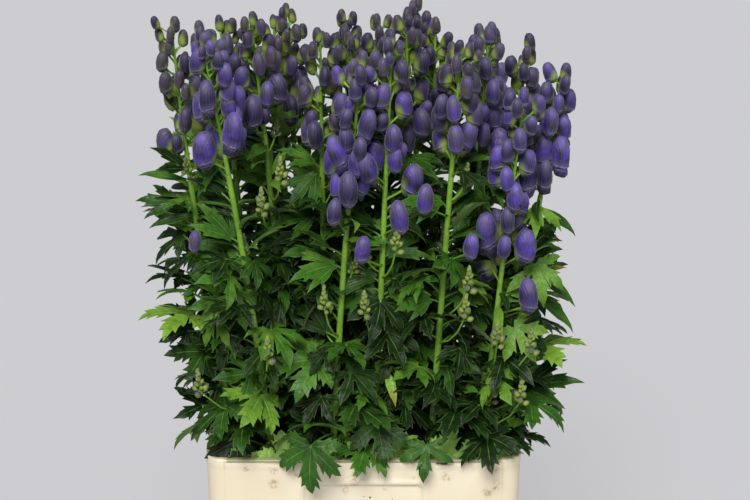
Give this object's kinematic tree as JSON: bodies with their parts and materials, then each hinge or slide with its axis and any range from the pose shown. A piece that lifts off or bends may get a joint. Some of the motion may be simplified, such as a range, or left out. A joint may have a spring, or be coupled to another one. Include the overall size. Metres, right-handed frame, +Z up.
{
  "type": "potted arendsii monkshood",
  "caption": "Clump of monkshood in an oblong plastic tub: leafy stems with lobed leaves end in spikes of hooded violet buds.",
  "frame": {"origin": "middle of the tub's flat underside", "axes": "+Z up, the long front of the tub faces -Y, +X to its right as seen from the front"},
  "size_m": [0.551, 0.357, 0.797],
  "materials": {
    "tub": "cream moulded plastic, scuffed",
    "soil": "moist crumbly potting soil",
    "leaf": "glossy dark green leaf on a yellow-green stem",
    "flower": "satin violet buds, greener where young"
  },
  "bodies": {
    "root": {"tub": "tub", "soil": "soil", "stem_01": "leaf", "spike_01": "flower", "stem_02": "leaf", "spike_02": "flower", "stem_03": "leaf", "spike_03": "flower", "stem_04": "leaf", "spike_04": "flower", "stem_05": "leaf", "spike_05": "flower", "stem_06": "leaf", "spike_06": "flower", "stem_07": "leaf", "spike_07": "flower", "stem_08": "leaf", "spike_08": "flower", "stem_09": "leaf", "spike_09": "flower", "stem_10": "leaf", "spike_10": "flower", "stem_11": "leaf", "spike_11": "flower", "stem_12": "leaf", "spike_12": "flower", "stem_13": "leaf", "spike_13": "flower", "stem_14": "leaf", "spike_14": "flower", "stem_15": "leaf", "spike_15": "flower", "stem_16": "leaf", "spike_16": "flower", "stem_17": "leaf", "spike_17": "flower", "stem_18": "leaf", "spike_18": "flower", "stem_19": "leaf", "spike_19": "flower", "stem_20": "leaf", "spike_20": "flower", "stem_21": "leaf", "spike_21": "flower", "stem_22": "leaf", "spike_22": "flower"}
  },
  "joints": []
}
